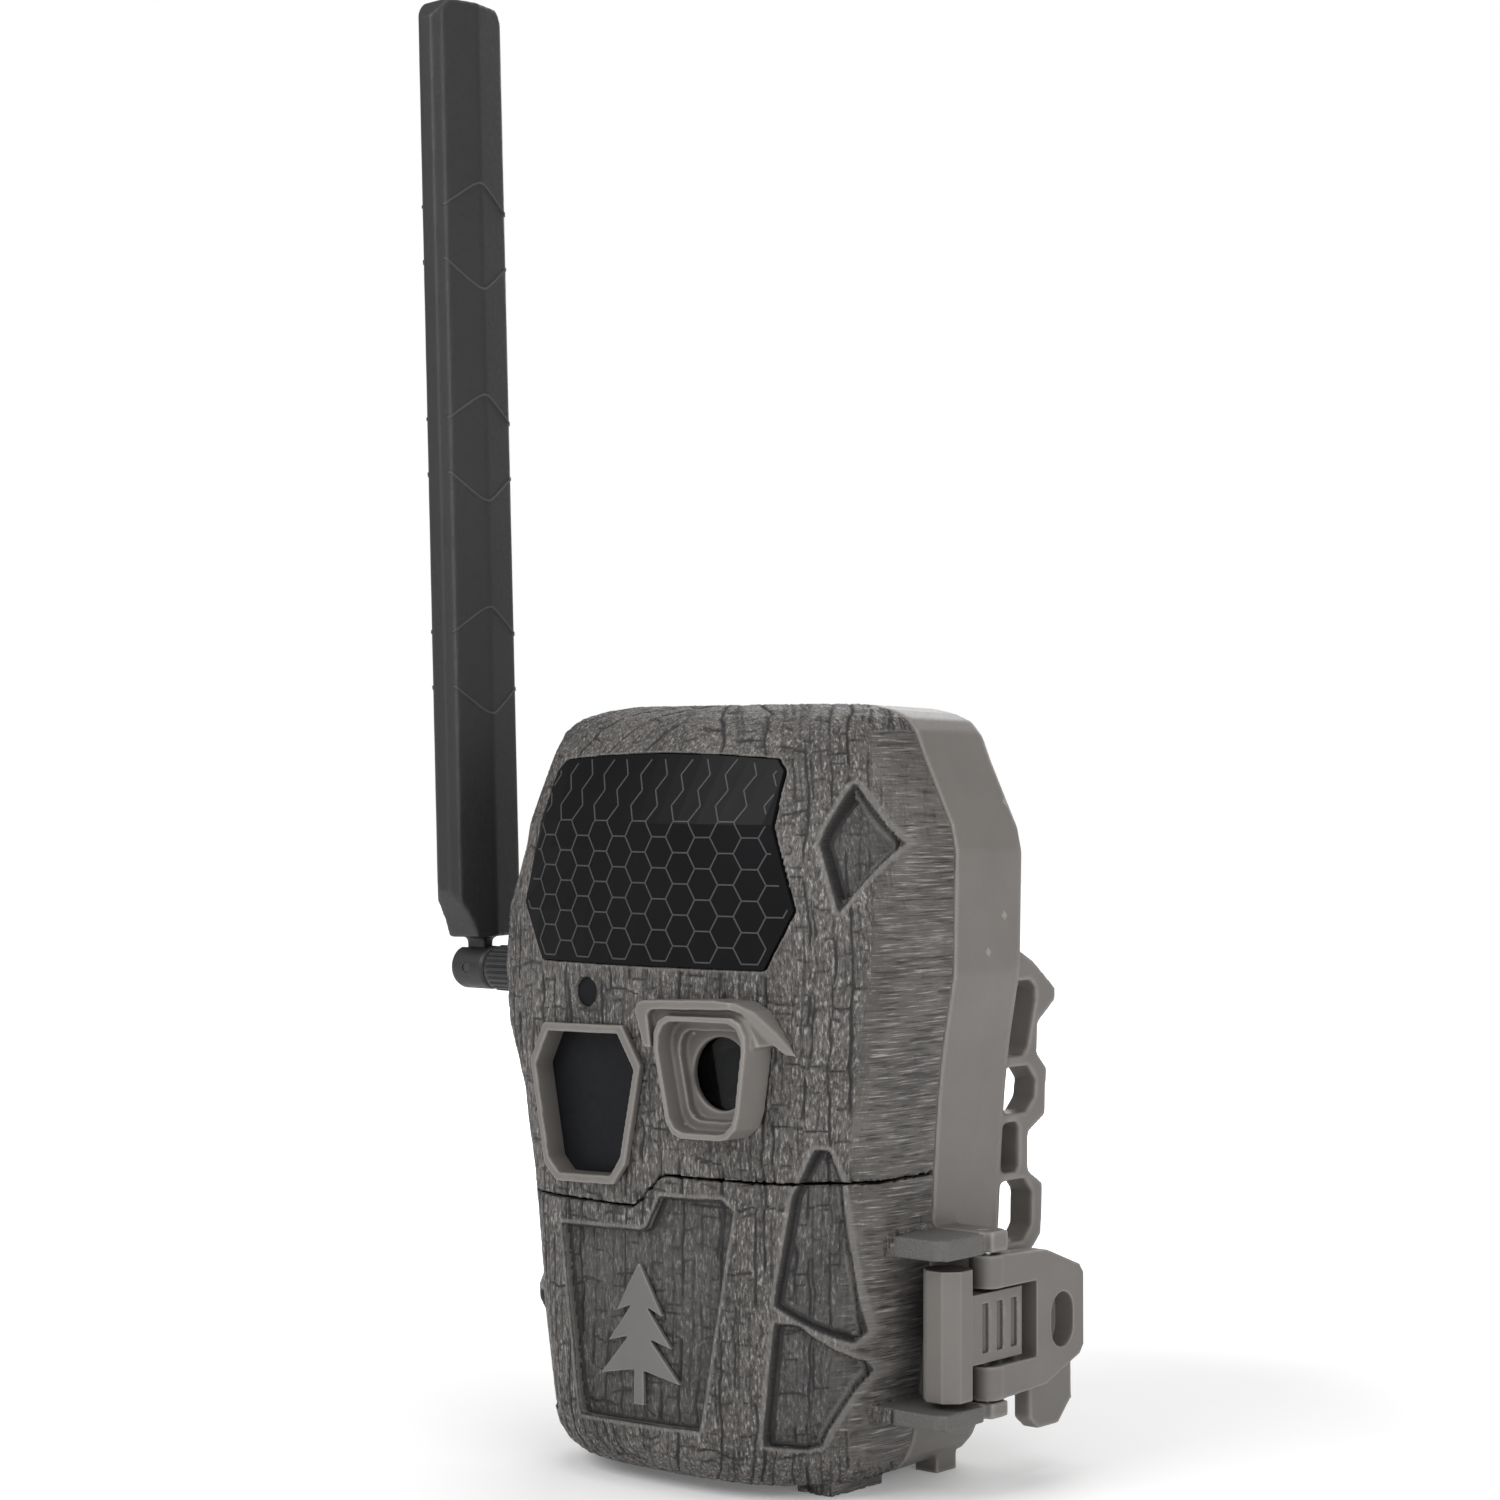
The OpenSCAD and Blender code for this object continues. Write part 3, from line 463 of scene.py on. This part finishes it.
def recess_share(points, normals):
    """Three shares: 1 on the floors of the sunk panels, 1 on their walls, where painted shade goes, and 1 on
    the rims round them and the window, where a painted highlight goes.
    """
    x, z = points[:, 0] / MM, points[:, 2] / MM
    deep = inside(x, z, BADGE)
    for outline in (SPEAR, SHIELD, DIAMOND):
        deep = np.maximum(deep, inside(np.abs(x), z, outline))
    front = smooth_step(-normals[:, 1], 0.1, 0.3)
    forward = points[:, 1] < SEAM_Y - 6 * MM
    floor_share = smooth_step(deep, -0.1, 0.2) * front
    wall = (1 - smooth_step(np.abs(deep - 0.1), 0.25, 0.6)) * forward
    rim = (1 - smooth_step(np.abs(deep + 0.6), 0.2, 0.55)) * forward
    # the rounded edge of the window opening also gets a painted highlight
    window_gap = np.abs(inside(x, z, WINDOW) + 0.35)
    rim = np.maximum(rim, (1 - smooth_step(window_gap, 0.1, 0.4)) * front)
    return floor_share, wall, rim


def side_share(points, normals):
    """0 on the face, 1 on the flat sides."""
    return smooth_step(np.abs(normals[:, 0]), 0.80, 0.95)


def outer_share(points, normals, node):
    """1 on the skin seen from outside, 0 on inner walls, bosses and the parting edge."""
    caster = caster_of(node)
    low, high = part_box(node)
    middle = np.array(((low[0] + high[0]) / 2, SEAM_Y + 4 * MM, (low[2] + high[2]) / 2))
    away = (points - middle) * (1, 1, 0.4)
    facing = (np.sum(away * normals, axis=1) > 0) & (normals[:, 1] < 0.35)
    share = facing.astype(float)
    for i in np.nonzero(facing)[0]:
        direction = Vector(normals[i])
        hit = caster.ray_cast(Vector(points[i]) + direction * 1.2 * MM, direction, 60 * MM)
        if hit[0] is not None:
            share[i] = 0
    return share * smooth_step(SEAM_Y - points[:, 1], 0.3 * MM, 1.5 * MM)


def plank_cracks(u, v, width, height, seed):
    """Crack strength from 0 to 1: long upright cracks that come and go, with short level ones between."""
    zeros = np.zeros_like(u)
    whole_zeros = zeros.astype(np.int64)
    column = np.floor(u / width).astype(np.int64)
    line = np.round(u / width)
    offset = line * width - u
    keep = noise(np.stack([line * 9.7, v / 8, zeros], axis=1), (1, 1, 1), seed)
    thick = 0.02 + 0.16 * noise(np.stack([line * 5.1, v / 4, zeros], axis=1), (1, 1, 1), seed + 1)
    upright = (1 - smooth_step(np.abs(offset), thick, thick + 0.42)) * smooth_step(keep, 0.42, 0.58)
    cells = np.stack([column, whole_zeros, whole_zeros], axis=1)
    shifted = v / height + 3 * lattice(cells, seed + 2)
    row = np.round(shifted)
    gap = np.abs(shifted - row) * height
    row = row.astype(np.int64)
    chosen = lattice(np.stack([column, row, whole_zeros], axis=1), seed + 3)
    part = np.abs((u / width - column) - lattice(cells + row[:, None], seed + 4))
    level = (1 - smooth_step(gap, 0.05, 0.42)) * (chosen > 0.3) * (1 - smooth_step(part, 0.3, 0.6))
    return np.maximum(upright, 0.8 * level)


def bark_height(points, normals, seed):
    """Height in metres of the bark above the moulded skin, and how deep in a crack each point is."""
    x, y, z = points[:, 0] / MM, points[:, 1] / MM, points[:, 2] / MM
    side = side_share(points, normals)
    wander = 2.2 * (noise(points / MM, (9, 9, 16), seed) - 0.5)
    ripple = 1.0 * (noise(points / MM, (2.2, 2.2, 3.4), seed + 3) - 0.5)
    around = np.sign(x) * (np.abs(x) + 0.8 * (y - FRONT_Y / MM))
    level = z + ripple + 1.5 * (noise(points / MM, (5, 5, 9), seed + 4) - 0.5)
    large = plank_cracks(around + wander + ripple, level, 9.7, 11, seed + 5)
    small = plank_cracks(around + wander + ripple + 3.1, level, 4.3, 5.5, seed + 9)
    tiny = plank_cracks(around + wander + 0.6 * ripple + 1.7, level + 0.9, 2.3, 2.9, seed + 27)
    front_crack = np.maximum(large, np.maximum(0.8 * small, 0.5 * tiny))
    strip = plank_cracks(z + 0.5 * ripple, y + 2 * wander, 2.1, 40, seed + 13)
    taper = noise(points / MM, (4, 6, 1.1), seed + 15)
    side_crack = 0.45 * strip * smooth_step(taper, 0.35, 0.65)
    fibre = noise(points / MM, (0.6, 0.6, 2.6), seed + 17) - 0.5
    strand = noise(points / MM, (1.6, 1.6, 7.0), seed + 19) - 0.5
    flow = noise(points / MM, (4, 13, 0.7), seed + 23) - 0.5
    crack = front_crack * (1 - side) + side_crack * side
    face = (FIBRE_HEIGHT * fibre + STRAND_HEIGHT * strand) * (1 - side)
    height = face + FLOW_HEIGHT * flow * side - CRACK_DEPTH * crack
    return height * MM, crack


def bark_copy(node, seed):
    """Stands a shell with modelled bark in for the plain CAD one, and paints what the material reads."""
    obj = remeshed(node, BARK_VOXEL, 1)
    mesh = obj.data
    points, normals = read_vertices(mesh, "co"), read_vertices(mesh, "normal")
    height, crack = bark_height(points, normals, seed)
    recess, wall, rim = recess_share(points, normals)
    ledge = smooth_step(np.abs(points[:, 0]) / MM, *LEDGE_X) * (points[:, 2] < LEDGE_TOP)
    skin = outer_share(points, normals, node) * (1 - ledge)
    rough = skin * (1 - 0.25 * recess) * (1 - 0.85 * np.maximum(wall, rim))
    write_points(mesh, points + normals * (height * rough - PANEL_SINK * recess * skin)[:, None])
    # painted shade for the cracks and the panel walls
    paint(mesh, "depth", np.maximum(crack * (1 - 0.8 * rim), wall) * skin)
    # painted highlight on the rims
    paint(mesh, "rim", rim * skin * (1 - wall))
    paint(mesh, "recess", recess)
    paint(mesh, "smooth", 1 - skin)
    paint(mesh, "side", side_share(points, normals))
    shade_smooth(obj)
    dress(obj, "bark_shell")


for node, seed in BARK_SEED.items():
    bark_copy(node, seed)


# ---- every other part: eased edges and its own material --------------------

# Mouldings that show: voxel size in millimetres and rounds of smoothing
SOFT = {
    "lens_hood": (0.28, 7),
    "motion_bezel": (0.28, 7),
    "rear_housing": (0.5, 4),
    "latch_lever": (0.25, 5),
    "latch_link": (0.2, 2),
    "door_emblem": (0.15, 3),
    "antenna_blade": (0.45, 4),
    "antenna_nut": (0.19, 2),
    "antenna_knuckle": (0.16, 3),
}
BEVEL_WIDTH = 0.18 * MM
SHARP_DEGREES = 35


def soften(node, voxel, rounds):
    """Stands a moulding with rounded edges in for the sharp CAD one."""
    obj = remeshed(node, voxel, rounds)
    shade_smooth(obj)
    dress(obj, SLOT_OF[node])


def bevel(node, obj):
    """Eases the edges of a small or inner part, which stays the CAD object."""
    dress(obj, "coated_glass" if node == "lens_elements" else SLOT_OF[node])
    ease = obj.modifiers.new("ease", "BEVEL")
    ease.width = BEVEL_WIDTH
    ease.segments = 2
    ease.limit_method = "ANGLE"
    ease.angle_limit = math.radians(SHARP_DEGREES)
    ease.harden_normals = True
    shade_smooth(obj, SHARP_DEGREES)


for node, (size, rounds) in SOFT.items():
    soften(node, size * MM, rounds)
for node, obj in NODES.items():
    if node not in SOFT and node not in BARK_SEED:
        bevel(node, obj)


# ---- fine lines moulded on the window and the antenna -----------------------

RIB_SINK = 0.06 * MM        # how far a line's foot reaches into the part below it
HEX_SIDE = 3.2              # the honeycomb on the window, in millimetres
HEX_TOP = 120.6
HEX_COLUMNS = range(-8, 9)
HEX_ROWS = range(-4, 7)
HEX_MARGIN = 0.9            # gap to the window's edge below the fold, and above it
FOLD_MARGIN = 0.3
ANTENNA_X = -0.06
CHEVRON_REACH = 8.6 * MM
CHEVRON_ROUND = 0.03


def ribs(name, node, paths, direction, width, height, slot):
    """Thin raised lines laid on a part: each path is cast on to it along a direction."""
    caster = caster_of(node)
    points, faces = [], []
    direction = Vector(direction)
    for path in paths:
        hits = [caster.ray_cast(Vector(p), direction) for p in path]
        hits = [(h[0], h[1] if h[1].dot(direction) < 0 else -h[1]) for h in hits if h[0] is not None]
        if len(hits) < 2:
            continue
        first = len(points)
        for i, (place, normal) in enumerate(hits):
            along = (hits[min(i + 1, len(hits) - 1)][0] - hits[max(i - 1, 0)][0]).normalized()
            across = normal.cross(along).normalized()
            for share, lift in ((-0.5, -RIB_SINK), (-0.28, height), (0.28, height), (0.5, -RIB_SINK)):
                points.append(place + across * width * share + normal * lift)
        for i in range(len(hits) - 1):
            base = first + 4 * i
            for k in range(4):
                n = (k + 1) % 4
                faces.append((base + k, base + n, base + 4 + n, base + 4 + k))
        last = first + 4 * (len(hits) - 1)
        faces.append((first + 3, first + 2, first + 1, first))
        faces.append((last, last + 1, last + 2, last + 3))
    mesh = bpy.data.meshes.new(name)
    mesh.from_pydata(points, [], faces)
    mesh.validate()
    obj = bpy.data.objects.new(name, mesh)
    bpy.context.scene.collection.objects.link(obj)
    attach(obj, node)
    dress(obj, slot)


def honeycomb():
    """Sides of a honeycomb inside the window outline, as runs of points in x and z.
    Above the window's fold only the slanting sides remain, as zigzags."""
    rise = HEX_SIDE * math.sqrt(3) / 2
    runs = []
    for column in HEX_COLUMNS:
        for row in HEX_ROWS:
            cx = column * 1.5 * HEX_SIDE
            cz = HEX_TOP - rise - 2 * rise * row + (rise if column % 2 else 0)
            corners = [(cx + HEX_SIDE * math.cos(a), cz + HEX_SIDE * math.sin(a))
                       for a in (0, math.pi / 3, 2 * math.pi / 3, math.pi)]
            for (ax, az), (bx, bz) in zip(corners, corners[1:]):
                if az > HEX_TOP + 1 and abs(az - bz) < 0.01:
                    continue
                steps = [(ax + (bx - ax) * t / 4, az + (bz - az) * t / 4) for t in range(5)]
                depth = inside(np.array([q[0] for q in steps]), np.array([q[1] for q in steps]), WINDOW)
                run = [q for q, d in zip(steps, depth)
                       if d > (FOLD_MARGIN if q[1] > HEX_TOP + 1 else HEX_MARGIN)]
                if len(run) > 1:
                    runs.append(run)
    return runs


ribs("window_lines", "infrared_window",
     [[(x * MM, -0.1, z * MM) for x, z in run] for run in honeycomb()], (0, 1, 0), 0.36 * MM, 0.10 * MM,
     "window_line")


def chevron(apex, drop, side):
    """A rounded arrow across both facets of one side of the antenna."""
    low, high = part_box("antenna_blade")
    middle = (low[1] + high[1]) / 2
    path = []
    for i in range(-16, 17):
        t = i / 16
        fall = drop * (math.sqrt(t * t + CHEVRON_ROUND) - math.sqrt(CHEVRON_ROUND))
        path.append((ANTENNA_X + side * 0.1, middle + t * CHEVRON_REACH, apex * MM - fall * MM))
    return path


for side in (-1, 1):
    for group, apexes, drop in (("up", (246, 204, 162), 6.2), ("down", (225, 183, 141), -6.2)):
        ribs("antenna_%s_lines_%s" % (group, "left" if side < 0 else "right"), "antenna_blade",
             [chevron(apex, drop, side) for apex in apexes], (-side, 0, 0), 0.55 * MM, 0.20 * MM,
             "antenna_line")


# ---- camera, light and floor -----------------------------------------------

LIGHT_AIM = (0, 0, 0.1)
# Place, size in metres and watts of each soft light
LIGHTS = {
    "key": ((-0.25, -0.9, 0.75), 0.7, 7),
    "fill": ((0.95, -0.4, 0.3), 0.8, 6),
    "top": ((0.1, 0.1, 1.1), 0.9, 4),
    "back": ((-0.4, 0.9, 0.6), 0.7, 4),
}
FLOOR_RADIUS = 3
FLOOR_SIDES = 48
FADE = (0.12, 0.45)         # the floor turns white between these distances from the middle
WORLD_LIGHT = 0.32          # how bright the white surroundings are to everything but the camera
VIEW_PLACE = (0.3722, -0.4586, 0.1295)
VIEW_AZIMUTH = 39.8
VIEW_LENS = 74.45
VIEW_SHIFT = 0.01433


def area_light(name, place, size, watts):
    data = bpy.data.lights.new(name, "AREA")
    data.size = size
    data.energy = watts
    light = bpy.data.objects.new(name, data)
    light.location = place
    light.rotation_euler = (Vector(LIGHT_AIM) - Vector(place)).to_track_quat("-Z", "Y").to_euler()
    bpy.context.scene.collection.objects.link(light)


def floor():
    """Pale floor that turns plain white away from the object, and is dimmer in reflections."""
    mesh = bpy.data.meshes.new("floor")
    turns = [2 * math.pi * i / FLOOR_SIDES for i in range(FLOOR_SIDES)]
    rim = [(FLOOR_RADIUS * math.cos(turn), FLOOR_RADIUS * math.sin(turn), 0) for turn in turns]
    mesh.from_pydata(rim, [], [tuple(range(FLOOR_SIDES))])
    obj = bpy.data.objects.new("floor", mesh)
    bpy.context.scene.collection.objects.link(obj)
    material, tree, shader = new_material("pale_floor")
    shader.inputs["Base Color"].default_value = (0.9, 0.9, 0.9, 1)
    shader.inputs["Roughness"].default_value = 0.9
    shader.inputs["Specular IOR Level"].default_value = 0.1
    length = tree.nodes.new("ShaderNodeVectorMath")
    length.operation = "LENGTH"
    tree.links.new(object_coords(tree), length.inputs[0])
    shader.inputs["Emission Color"].default_value = (1, 1, 1, 1)
    path = tree.nodes.new("ShaderNodeLightPath")
    seen = ranged(tree, length.outputs["Value"], *FADE, 0.12, 0.9)
    mirrored = ranged(tree, length.outputs["Value"], *FADE, 0.03, 0.1)
    glow = mixed_value(tree, path.outputs["Is Glossy Ray"], seen, mirrored)
    tree.links.new(glow, shader.inputs["Emission Strength"])
    obj.data.materials.append(material)


def surroundings():
    """White to the camera, a softer grey to everything that it lights."""
    world = bpy.data.worlds.new("studio")
    world.use_nodes = True
    tree = world.node_tree
    background = tree.nodes["Background"]
    path = tree.nodes.new("ShaderNodeLightPath")
    background.inputs["Color"].default_value = (1, 1, 1, 1)
    strength = ranged(tree, path.outputs["Is Camera Ray"], 0, 1, WORLD_LIGHT, 1.0)
    tree.links.new(strength, background.inputs["Strength"])
    bpy.context.scene.world = world


floor()
surroundings()
for name, (place, size, watts) in LIGHTS.items():
    area_light(name, place, size, watts)

view = bpy.data.objects.new("view", bpy.data.cameras.new("view"))
view.data.sensor_width = 36
view.data.lens = VIEW_LENS
view.data.shift_y = VIEW_SHIFT
view.data.clip_start = 0.02
view.location = VIEW_PLACE
view.rotation_euler = (math.radians(90), 0, math.radians(VIEW_AZIMUTH))
bpy.context.scene.collection.objects.link(view)
bpy.context.scene.camera = view
bpy.context.scene.view_settings.view_transform = "Standard"
